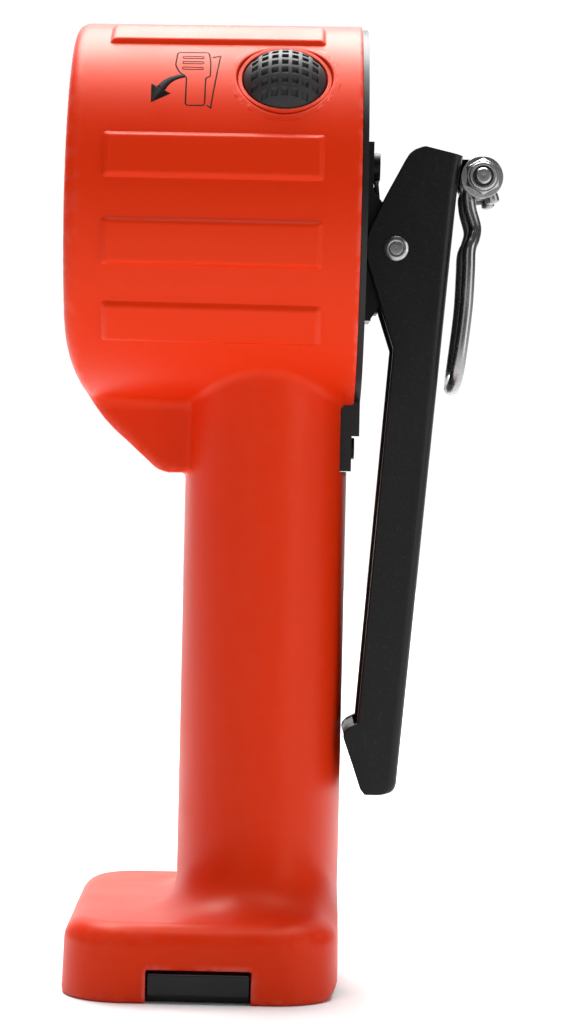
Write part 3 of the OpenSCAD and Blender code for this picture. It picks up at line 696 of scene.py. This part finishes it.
class TORCH_OT_clip(bpy.types.Operator):
    """Clip lever: a bent-sheet channel, its U section swept up the lever while the depth follows the side outline"""
    bl_idname = "torch.clip"
    bl_label = "Clip lever"

    def execute(self, context):
        low, high = box_mm("clip_lever")
        thick, half, bend = 1.6, 11.0, 1.9
        front = [(34.6, 19.4), (35.6, 18.6), (40.0, 17.1), (44.6, 15.45), (45.2, 15.3), (45.9, 15.45), (46.9, 16.3),
                 (47.6, 17.8), (116.5, 22.9), (131.5, 17.95), (132.8, 17.6), (134.9, 17.5), (137.0, 17.6),
                 (138.5, 18.1), (143.9, 20.6), (151.2, 24.4), (152.4, 25.15), (153.2, 26.1), (153.9, 27.9)]
        back = [(34.6, 23.2), (35.0, 24.4), (35.6, 24.95), (36.6, 25.25), (145.2, 34.0), (153.9, 35.0)]
        stretches = ((34.6, 37, 9), (37, 48, 28), (48, 116, 18), (116, 142, 40), (142, 151, 8), (151, 153.9, 14))
        z = np.unique(np.concatenate([np.linspace(*stretch) for stretch in stretches] + [[45.2, 47.6, 116.5, 134.9]]))
        xf, xb = (np.interp(z, *np.array(side).T) for side in (front, back))
        a = np.linspace(0, math.pi / 2, 7)
        edge = 0.28
        # The U section, from one flange's front edge round the web to the other, then back along the inside
        inner_bend = bend - thick * 0.7
        deep = half - thick - inner_bend
        outer = [(xf + d, w) for d, w in ((0.0, half - thick + edge), (0.0, half - edge), (edge, half))]
        outer += [(xb - bend + bend * np.sin(q), half - bend + bend * np.cos(q)) for q in a]
        inner = [(xf + edge, half - thick)]
        inner += [(xb - thick - inner_bend + inner_bend * np.sin(q), deep + inner_bend * np.cos(q)) for q in a]
        section = outer + [(x, -w) for x, w in outer[::-1] + inner] + inner[::-1]
        xs = np.stack([x for x, w in section], 1)
        rows, cols = xs.shape
        ys = np.broadcast_to([w for x, w in section], xs.shape)
        points = np.stack([xs, ys, np.repeat(z[:, None], cols, 1)], -1).reshape(-1, 3)
        # The top edge falls towards the ring
        points[:, 2] -= 0.23 * np.clip((points[:, 2] - 145) / 8.9, 0, 1) * np.clip(points[:, 0] - 27.6, 0, None)
        channel = (points, capped_faces(rows, cols))
        # Closed lower end, jaw plate and the knuckle that wraps the ring bolt
        end = slab_shape([(19.4, 34.7), (23.0, 34.65), (24.6, 36.2), (19.0, 36.2)], half - thick + 0.2, 0.25)
        jaw = slab_shape([(15.4, 45.2), (15.9, 46.3), (17.3, 47.1), (17.7, 45.9), (16.9, 45.0), (16.4, 43.9)],
                         half - thick + 0.2, 0.2)
        sweep = np.linspace(math.radians(100), math.radians(100 + 305), 40)
        wrap_out, wrap_in = ((RING_X, RING_Z) + r * np.stack([np.cos(sweep), np.sin(sweep)], -1) for r in (3.4, 1.62))
        lead_in = np.array([(33.4, 151.9), (34.8, 151.9), (36.4, 151.6)])
        lead_out = np.array([(37.0, 149.9), (35.8, 150.9), (34.0, 151.2), (33.2, 150.6)])
        knuckle = slab_shape(np.concatenate([lead_in, wrap_out, wrap_in[::-1], lead_out]), 5.0, 0.15)
        points, faces = join(channel, end, jaw, knuckle)
        new_piece("lever", np.clip(points, low, high), faces, "clip", "black_steel", ["clip_lever"], sharp=40)
        return {"FINISHED"}


# ---- ring and pins

class TORCH_OT_ring(bpy.types.Operator):
    """Ring: round wire swept along a curve, each end hooked round the bolt and cut off short"""
    bl_idname = "torch.ring"
    bl_label = "Ring"

    def execute(self, context):
        s = sizes()
        low, high = box_mm("d_ring")
        down = [(36.2, 6.7, 146.0), (36.6, 6.8, 142.8), (37.55, 7.3, 139.3), (37.2, 8.6, 137.0), (36.5, 9.6, 134.9),
                (36.4, 10.0, 131.0), (36.1, 10.0, 124.0), (35.2, 10.0, 115.5), (34.7, 8.8, 111.8),
                (34.4, 5.6, 110.0), (34.3, 1.8, 109.6)]
        body = smooth_route(np.concatenate([np.array(down) * (1, -1, 1), down[::-1]]), 8)
        eye = WASHER_HIGH[2] - WASHER_LOW[2]
        turn_r = min(eye / 2, (high[2] - RING_Z)) - s.wire_r
        swing = np.radians(np.linspace(222, -52, 34))
        hook = np.stack([RING_X + turn_r * np.cos(swing), np.full(34, 1.0), RING_Z + turn_r * np.sin(swing)], -1)
        tail = np.array([(40.45, 1.0, 145.5), (40.7, 1.0, 144.9), (40.85, 1.0, 144.3)])
        near = np.concatenate([hook, tail]) * (1, -6.7, 1)
        far = near * (1, -1, 1)
        route = np.concatenate([near[::-1], body[2:-2], far])
        keep = np.r_[True, np.linalg.norm(np.diff(route, axis=0), axis=1) > 0.15]
        points, faces = tube(route[keep], s.wire_r, (0, 1, 0.02), 20)
        new_piece("ring", np.clip(points, low, high), faces, "ring", "steel", ["d_ring"], finish="wire_steel")
        return {"FINISHED"}


def hex_nut(y0, y1, radius, chamfer, turn, hole=1.5, steps=16):
    """A hexagonal nut along Y: radius(a) is the hexagon's polar outline, cut down near both faces to the
    cone that chamfers its corners."""
    a = circle(6 * steps)
    flat = radius * math.cos(math.pi / 6)
    hexagon = flat / np.cos((a - turn) % (math.pi / 3) - math.pi / 6)
    depth = np.array([0, 0.25, 0.5, 0.75, 1.0]) * chamfer
    y = np.concatenate([[0], depth, (y1 - y0) - depth[::-1], [y1 - y0]]) + y0
    limit = np.concatenate([flat * 0.97 + depth * 1.1, np.full(5, radius)])
    rows = [np.full(len(a), hole)] + [np.minimum(hexagon, m) for m in limit] + [np.full(len(a), hole)]
    r = np.stack(rows)
    points = np.stack([RING_X + r * np.cos(a), np.repeat(y[:, None], len(a), 1), RING_Z + r * np.sin(a)], -1)
    return points.reshape(-1, 3), grid_faces(len(r), len(a), wrap_rows=True)


class TORCH_OT_ring_bolt(bpy.types.Operator):
    """Ring bolt: a turned shank with a domed socket head, two washers and a hexagonal lock nut with a dark insert"""
    bl_idname = "torch.ring_bolt"
    bl_label = "Ring bolt"

    def execute(self, context):
        at = (RING_X, 0, RING_Z)
        bolt_low, bolt_high = box_mm("ring_bolt")
        nut_low, nut_high = box_mm("ring_nut")
        shank = turned(rounded([(bolt_low[1], 0.001), (bolt_low[1], 1.2), (bolt_low[1] + 0.35, 1.5),
                                (9.2, 1.5), (9.2, 0.001)], 0.08), 48, "y", at)
        top = bolt_high[1]
        head = turned(rounded([(top - 2.0, 0.6), (top - 2.0, 2.8), (top - 0.9, 2.8), (top, 1.9), (top, 1.35),
                               (top - 1.1, 1.25), (top - 1.1, 0.001), (top - 1.9, 0.001)], 0.25), 64, "y", at)
        new_piece("bolt", *join(shank, head), "clip", "steel", ["ring_bolt"], sharp=32)
        nut = hex_nut(-11.35, nut_high[1], 3.4, 0.55, math.pi / 6)
        collar = turned(rounded([(nut_low[1], 1.9), (nut_low[1], 2.35), (nut_low[1] + 0.25, 2.6), (-11.2, 2.6),
                                 (-11.2, 1.9)], 0.12), 64, "y", at)
        new_piece("nut", *join(nut, collar), "clip", "steel", ["ring_nut"], sharp=32)
        insert = turned(rounded(ring_profile(nut_low[1] + 0.12, -11.0, 1.45, 1.95), 0.05), 48, "y", at)
        new_piece("nut_insert", *insert, "clip", "black_plastic", sharp=32)
        rings = [turned(rounded(ring_profile(side * 8.05, side * 8.95, 1.6, 3.89), 0.12), 72, "y", at)
                 for side in (-1, 1)]
        new_piece("washers", *join(*rings), "clip", "steel", ["ring_washers"], sharp=32)
        return {"FINISHED"}


class TORCH_OT_pin(bpy.types.Operator):
    """Clip pin: a turned bar whose ends are spun over into low domes with a ring pressed round the middle"""
    bl_idname = "torch.pin"
    bl_label = "Clip pin"

    def execute(self, context):
        end, r = PIN_HIGH[1], (PIN_HIGH[2] - PIN_LOW[2]) / 2
        half = [(end - 0.02, 0.001), (end, 0.9), (end - 0.02, 1.15), (end - 0.2, 1.3), (end - 0.12, 1.5),
                (end - 0.2, 1.9), (end - 0.45, r - 0.05), (end - 0.7, r), (11.0, r - 0.1), (11.0, 1.8)]
        profile = half + [(-y, q) for y, q in half[::-1]]
        new_piece("pin", *turned(profile, 72, "y", (CLIP_X, 0, CLIP_Z)), "root", "steel", ["clip_pin"], sharp=40)
        return {"FINISHED"}


# ---- front of the lamp

class TORCH_OT_front(bpy.types.Operator):
    """Bezel, lens, seal, reflector and LED: closed profiles turned round the lamp axis, the reflector a parabola"""
    bl_idname = "torch.front"
    bl_label = "Front"

    def execute(self, context):
        at = (0, 0, HEAD_Z)
        steps = 192
        bezel = [(-32.4, 30.2), (-32.4, 31.85), (-29.0, 31.85), (-29.0, 28.6), (-30.4, 28.6)]
        seal_low, seal_high = box_mm("lens_seal")
        seal_r = (seal_high[2] - seal_low[2]) / 2
        lens = ring_profile(LENS_LOW[0], LENS_HIGH[0], 0.001, LENS_R)
        seal = ring_profile(seal_low[0], seal_high[0], seal_r - 1.6, seal_r)
        led_low, led_high = box_mm("led")
        r = np.linspace(5.0, 27.4, 48)
        inner = np.stack([5 - r ** 2 / 24, r], -1)
        slope = np.stack([np.ones_like(r), r / 12], -1) / np.hypot(1, r / 12)[:, None]
        outer = inner + slope
        rim_low, rim_high = box_mm("reflector")
        rim = [(rim_low[0], inner[-1, 1] + 0.1), (rim_low[0], 29.2), (rim_low[0] + 0.9, 29.2),
               (rim_low[0] + 0.9, outer[-1, 1] + 0.1)]
        reflector = np.concatenate([inner, rim, outer[::-1]])
        reflector = np.clip(reflector, (rim_low[0], 0), (rim_high[0], 29.2))
        t = np.linspace(0, math.radians(86), 12)
        led_r = (led_high[2] - led_low[2]) / 2
        bulb_r = 1.5
        bulb = [(led_low[0] + bulb_r - bulb_r * math.cos(q), max(bulb_r * math.sin(q), 0.001)) for q in t]
        led = bulb + [(led_low[0] + bulb_r, led_r), (led_high[0], led_r), (led_high[0], 0.001)]
        made = (("bezel_ring", rounded(bezel, 0.3), "black_plastic", "bezel"),
                ("lens_plate", rounded(lens, 0.35), "lens_clear", "lens"),
                ("lens_gasket", rounded(seal, 0.3), "rubber", "lens_seal"),
                ("reflector_cup", reflector, "reflector", "reflector"),
                ("led_emitter", led, "phosphor", "led"))
        for name, profile, slot_name, node in made:
            points, faces = turned(profile, steps, "x", at)
            new_piece(name, np.clip(points, *box_mm(node)), faces, "root", slot_name, [node], sharp=40)
        return {"FINISHED"}


# ---- CAD shapes with soft edges

# node, piece, body, slot, width of the round
SOFTENED = (
    ("rear_cover", "cover", "root", "black_plastic", 0.3),
    ("clip_bracket", "bracket", "root", "black_steel", 0.18),
    ("bracket_screws", "bracket_screw_heads", "root", "black_steel", 0.12),
    ("rear_cover_screws", "cover_screw_heads", "root", "steel", 0.1),
    ("tongue_screw", "tongue_screw_head", "root", "black_steel", 0.1),
    ("door_latch_near", "latch_near", "latch_near", "black_plastic", 0.4),
    ("door_latch_far", "latch_far", "latch_far", "black_plastic", 0.4),
    ("battery_door", "door", "door", "black_plastic", 0.12),
    ("door_hinge_pin", "hinge_pin", "root", "steel", 0.08),
)


class TORCH_OT_softened(bpy.types.Operator):
    """Cover, bracket, screws, latches and door: the designed shapes with every edge slightly rounded"""
    bl_idname = "torch.softened"
    bl_label = "Cover, bracket, latches and door"

    def execute(self, context):
        for row in SOFTENED:
            softened(*row)
        return {"FINISHED"}


class TORCH_OT_carried(bpy.types.Operator):
    """Inner parts: the designed shapes kept as they are, each given the finish of its material slot"""
    bl_idname = "torch.carried"
    bl_label = "Inner parts"

    def execute(self, context):
        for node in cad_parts.values():
            if not node.hide_render:
                for k, kept in enumerate(node.data.materials):
                    node.data.materials[k] = material(kept.name.split(".")[0])
        return {"FINISHED"}


# ---- shared shader effects

def link(tree, source, target):
    tree.links.new(source, target)


def effect(name, inputs, outputs):
    """A new node group with float inputs (name, value) and outputs (name, socket type)."""
    tree = bpy.data.node_groups.new(name, "ShaderNodeTree")
    for label, value in inputs:
        tree.interface.new_socket(label, in_out="INPUT", socket_type="NodeSocketFloat").default_value = value
    for label, kind in outputs:
        tree.interface.new_socket(label, in_out="OUTPUT", socket_type=kind)
    return tree, tree.nodes.new("NodeGroupInput"), tree.nodes.new("NodeGroupOutput")


def arranged(tree):
    """Lays the nodes out from left to right in the order they were made."""
    for k, node in enumerate(tree.nodes):
        node.location = (220 * (k % 6), -260 * (k // 6))


def object_coords(tree):
    return tree.nodes.new("ShaderNodeTexCoord").outputs["Object"]


def noise(tree, coords, scale, detail=2.0):
    node = tree.nodes.new("ShaderNodeTexNoise")
    node.inputs["Scale"].default_value = scale
    node.inputs["Detail"].default_value = detail
    link(tree, coords, node.inputs["Vector"])
    return node


def maths(tree, operation, a, b):
    node = tree.nodes.new("ShaderNodeMath")
    node.operation = operation
    for socket, value in zip(node.inputs, (a, b)):
        if isinstance(value, bpy.types.NodeSocket):
            link(tree, value, socket)
        else:
            socket.default_value = value
    return node.outputs[0]


def spread(tree, value, low, high, to_low, to_high):
    node = tree.nodes.new("ShaderNodeMapRange")
    for label, number in (("From Min", low), ("From Max", high), ("To Min", to_low), ("To Max", to_high)):
        node.inputs[label].default_value = number
    link(tree, value, node.inputs["Value"])
    return node.outputs["Result"]


def grain():
    """Moulded or sprayed skin: fine bumps of a given fineness and depth, and a slow change over the part."""
    tree, given, result = effect("Grain", [("Fineness", 2600.0), ("Depth", 0.00002)],
                                 [("Normal", "NodeSocketVector"), ("Slow", "NodeSocketFloat")])
    coords = object_coords(tree)
    fine = noise(tree, coords, 1.0, 2.0)
    link(tree, given.outputs["Fineness"], fine.inputs["Scale"])
    slow = noise(tree, coords, 60.0, 3.0)
    bump = tree.nodes.new("ShaderNodeBump")
    bump.inputs["Strength"].default_value = 1.0
    link(tree, given.outputs["Depth"], bump.inputs["Distance"])
    link(tree, fine.outputs["Fac"], bump.inputs["Height"])
    link(tree, bump.outputs["Normal"], result.inputs["Normal"])
    link(tree, slow.outputs["Fac"], result.inputs["Slow"])
    arranged(tree)
    return tree


def scratches():
    """Hairline marks: three sets of noise drawn out along different directions, kept where each is highest."""
    tree, given, result = effect("Scratches", [("Length", 60.0), ("Fineness", 3000.0), ("Amount", 0.1)],
                                 [("Mask", "NodeSocketFloat")])
    coords = object_coords(tree)
    total = None
    for turn in ((0.2, 0.1, 0.3), (0.9, 0.4, -0.5), (-0.5, 1.1, 0.8)):
        place = tree.nodes.new("ShaderNodeMapping")
        place.inputs["Rotation"].default_value = turn
        link(tree, coords, place.inputs["Vector"])
        stretch = tree.nodes.new("ShaderNodeVectorMath")
        stretch.operation = "MULTIPLY"
        link(tree, place.outputs["Vector"], stretch.inputs[0])
        sides = tree.nodes.new("ShaderNodeCombineXYZ")
        for source, side in (("Fineness", "X"), ("Fineness", "Y"), ("Length", "Z")):
            link(tree, given.outputs[source], sides.inputs[side])
        link(tree, sides.outputs["Vector"], stretch.inputs[1])
        lines = noise(tree, stretch.outputs["Vector"], 1.0, 1.0)
        kept = spread(tree, lines.outputs["Fac"], 0.66, 0.74, 0.0, 1.0)
        total = kept if total is None else maths(tree, "MAXIMUM", total, kept)
    mask = maths(tree, "MULTIPLY", total, given.outputs["Amount"])
    link(tree, mask, result.inputs["Mask"])
    arranged(tree)
    return tree


def edge_wear():
    """Rubbed edges: the mesh's own edge value, broken up by noise."""
    tree, given, result = effect("Edge wear", [("Amount", 0.3)], [("Mask", "NodeSocketFloat")])
    edge = tree.nodes.new("ShaderNodeAttribute")
    edge.attribute_name = "edge"
    patches = noise(tree, object_coords(tree), 420.0, 4.0)
    broken = spread(tree, patches.outputs["Fac"], 0.42, 0.62, 0.0, 1.0)
    mask = maths(tree, "MULTIPLY", maths(tree, "MULTIPLY", edge.outputs["Fac"], broken), given.outputs["Amount"])
    link(tree, mask, result.inputs["Mask"])
    arranged(tree)
    return tree


EFFECTS = {"Grain": grain, "Scratches": scratches, "Edge wear": edge_wear}


def use(tree, name, **values):
    """A node for the named effect, which is made on first use."""
    node = tree.nodes.new("ShaderNodeGroup")
    node.node_tree = bpy.data.node_groups.get(name) or EFFECTS[name]()
    for label, value in values.items():
        node.inputs[label].default_value = value
    return node


# ---- materials

def finish_table():
    """What sets each finish apart: colour, roughness and whatever differs from the plain case."""
    c = bpy.context.scene.torch_colours
    steel = np.array(c.steel)
    return {
        "shell_plastic": dict(colour=c.shell, roughness=0.40, fineness=2400, depth=0.000018, wear=0.25, uneven=0.04,
                              Specular_IOR_Level=0.27, Specular_Tint=(1.0, 0.62, 0.42, 1)),
        "black_plastic": dict(colour=c.black, roughness=0.42, Specular_IOR_Level=0.3),
        "black_steel": dict(colour=c.paint, roughness=0.38, fineness=1900, depth=0.00003, marks=0.02,
                            Specular_IOR_Level=0.22),
        "rubber": dict(colour=c.rubber, roughness=0.55, fineness=3000, depth=0.000015),
        "steel": dict(colour=steel, roughness=0.30, metallic=1.0, fineness=1500, depth=0.000003, marks=0.25),
        "wire_steel": dict(colour=steel * 0.85, roughness=0.26, metallic=1.0, fineness=900, depth=0.000004,
                           marks=0.2),
        "spring_steel": dict(colour=(0.42, 0.41, 0.40), roughness=0.28, metallic=1.0, fineness=1200, depth=0.00001),
        "lens_clear": dict(colour=(0.97, 0.97, 0.97), roughness=0.03, uneven=0.01, fineness=300, depth=0.000002,
                           Transmission_Weight=1.0, IOR=1.58),
        "reflector": dict(colour=(0.86, 0.87, 0.88), roughness=0.07, metallic=1.0, uneven=0.02, fineness=260,
                          depth=0.000004),
        "aluminium": dict(colour=(0.66, 0.66, 0.67), roughness=0.36, metallic=1.0, fineness=1300, marks=0.2),
        "board": dict(colour=(0.012, 0.085, 0.03), roughness=0.34),
        "board_white": dict(colour=(0.72, 0.72, 0.70), roughness=0.38),
        "component": dict(colour=(0.05, 0.05, 0.052), roughness=0.5),
        "phosphor": dict(colour=(0.80, 0.62, 0.12), roughness=0.25, IOR=1.45, Coat_Weight=0.6),
        "contact": dict(colour=(0.70, 0.66, 0.58), roughness=0.24, metallic=1.0, marks=0.2),
        "cell_jacket": dict(colour=(0.03, 0.12, 0.32), roughness=0.28),
        "wire_red": dict(colour=(0.55, 0.02, 0.015), roughness=0.42),
        "wire_black": dict(colour=(0.012, 0.012, 0.012), roughness=0.42),
        "ink": dict(colour=(0.010, 0.008, 0.008), roughness=0.6, Specular_IOR_Level=0.1),
    }


def material(finish):
    """The named finish's material, made on first use."""
    return bpy.data.materials.get(finish + "_finish") or new_material(finish + "_finish", **finish_table()[finish])


def new_material(name, colour, roughness, metallic=0.0, fineness=2600.0, depth=0.00002, wear=0.0, marks=0.0,
                 uneven=0.08, **constants):
    """A finish from the shared effects: colour a little lighter where worn or marked, roughness slowly varying."""
    made = bpy.data.materials.new(name)
    made.use_nodes = True
    tree = made.node_tree
    shader = tree.nodes["Principled BSDF"]
    shader.inputs["Metallic"].default_value = metallic
    shader.inputs["Base Color"].default_value = (*colour, 1)
    for label, value in constants.items():
        shader.inputs[label.replace("_", " ")].default_value = value
    skin = use(tree, "Grain", Fineness=fineness, Depth=depth)
    rough = spread(tree, skin.outputs["Slow"], 0.3, 0.7, roughness - uneven, roughness + uneven)
    link(tree, skin.outputs["Normal"], shader.inputs["Normal"])
    if wear or marks:
        mask = use(tree, "Edge wear" if wear else "Scratches", Amount=wear or marks).outputs["Mask"]
        lighter = tree.nodes.new("ShaderNodeMix")
        lighter.data_type = "RGBA"
        lighter.inputs["A"].default_value = (*colour, 1)
        lighter.inputs["B"].default_value = (*[c + (1 - c) * 0.35 for c in colour], 1)
        link(tree, mask, lighter.inputs["Factor"])
        link(tree, lighter.outputs["Result"], shader.inputs["Base Color"])
        rough = maths(tree, "ADD", rough, maths(tree, "MULTIPLY", mask, 0.2))
    link(tree, rough, shader.inputs["Roughness"])
    arranged(tree)
    return made


# ---- stage

def seen_by(tree, others, camera, socket):
    """Gives a socket one value for what the camera sees and another for the light that reaches other things."""
    path = tree.nodes.new("ShaderNodeLightPath").outputs["Is Camera Ray"]
    link(tree, spread(tree, path, 0.0, 1.0, others, camera), socket)


class TORCH_OT_stage(bpy.types.Operator):
    """Stage: a plain pale floor, soft lights above and in front, and the camera"""
    bl_idname = "torch.stage"
    bl_label = "Stage"

    def execute(self, context):
        scene = context.scene
        half = 12.0
        mesh = bpy.data.meshes.new("floor")
        mesh.from_pydata([(-half, -half, 0), (half, -half, 0), (half, half, 0), (-half, half, 0)], [], [(0, 1, 2, 3)])
        floor = bpy.data.objects.new("floor", mesh)
        scene.collection.objects.link(floor)
        pale = bpy.data.materials.new("pale_floor")
        pale.use_nodes = True
        tree = pale.node_tree
        shade = tree.nodes["Principled BSDF"]
        seen_by(tree, 0.72, 0.93, shade.inputs["Base Color"])
        shade.inputs["Roughness"].default_value = 0.9
        mesh.materials.append(pale)
        world = bpy.data.worlds.new("studio")
        world.use_nodes = True
        tree = world.node_tree
        backdrop = tree.nodes["Background"]
        seen_by(tree, 0.13, 1.05, backdrop.inputs["Strength"])
        backdrop.inputs["Color"].default_value = (1, 1, 1, 1)
        scene.world = world
        sun = bpy.data.objects.new("overhead", bpy.data.lights.new("overhead", "SUN"))
        sun.data.energy, sun.data.angle = 3.6, math.radians(52)
        sun.rotation_euler = (math.radians(-12), 0, 0)
        scene.collection.objects.link(sun)
        # name, place, aimed at, width, height, watts
        lights = (("front", (-0.45, -0.80, 0.40), (0, 0, 0.09), 0.5, 0.7, 0.7),
                  ("right", (0.7, -0.45, 0.25), (0.02, 0, 0.10), 0.4, 0.7, 1.8),
                  ("backdrop", (0, 1.3, 0.45), (0, 0, 0.2), 2.0, 1.1, 9.0),
                  ("over", (-0.03, 0.26, 0.62), (0, 0, 0.16), 0.55, 0.40, 6.5))
        for name, place, aim, width, height, watts in lights:
            data = bpy.data.lights.new(name, "AREA")
            data.shape = "RECTANGLE"
            data.size, data.size_y, data.energy = width, height, watts
            lamp = bpy.data.objects.new(name, data)
            lamp.visible_camera = False
            scene.collection.objects.link(lamp)
            lamp.location = place
            lamp.rotation_euler = (lamp.location - Vector(aim)).to_track_quat("Z", "Y").to_euler()
        view = bpy.data.cameras.new("camera")
        view.lens, view.sensor_width, view.shift_y = 105.3, 36.0, -0.077
        camera = bpy.data.objects.new("camera", view)
        scene.collection.objects.link(camera)
        upright, roll = Matrix.Rotation(math.radians(90), 4, "X"), Matrix.Rotation(math.radians(1.27), 4, "Z")
        camera.matrix_world = Matrix.Translation((0.0034, -0.560, 0.1006)) @ upright @ roll
        scene.camera = camera
        scene.view_settings.view_transform = "Standard"
        return {"FINISHED"}


# ---- panel and running

OPERATORS = (TORCH_OT_shell, TORCH_OT_ribs, TORCH_OT_print, TORCH_OT_button, TORCH_OT_clip, TORCH_OT_ring,
             TORCH_OT_ring_bolt, TORCH_OT_pin, TORCH_OT_front, TORCH_OT_softened, TORCH_OT_carried, TORCH_OT_stage)


class TORCH_PT_panel(bpy.types.Panel):
    """Lists the build steps and their sizes"""
    bl_idname = "TORCH_PT_panel"
    bl_label = "Firefighter flashlight"
    bl_space_type = "VIEW_3D"
    bl_region_type = "UI"
    bl_category = "Flashlight"

    def draw(self, context):
        column = self.layout.column(align=True)
        for operator in OPERATORS:
            column.operator(operator.bl_idname)
        for group in (context.scene.torch_sizes, context.scene.torch_colours):
            box = self.layout.box()
            for field in group.__annotations__:
                box.prop(group, field)


CLASSES = (TorchSizes, TorchColours, *OPERATORS, TORCH_PT_panel)


def register():
    for cls in CLASSES:
        bpy.utils.register_class(cls)
    bpy.types.Scene.torch_sizes = bpy.props.PointerProperty(type=TorchSizes)
    bpy.types.Scene.torch_colours = bpy.props.PointerProperty(type=TorchColours)


def unregister():
    del bpy.types.Scene.torch_colours
    del bpy.types.Scene.torch_sizes
    for cls in reversed(CLASSES):
        bpy.utils.unregister_class(cls)


def main():
    register()
    for operator in OPERATORS:
        group, name = operator.bl_idname.split(".")
        getattr(getattr(bpy.ops, group), name)()


if __name__ == "__main__":
    main()
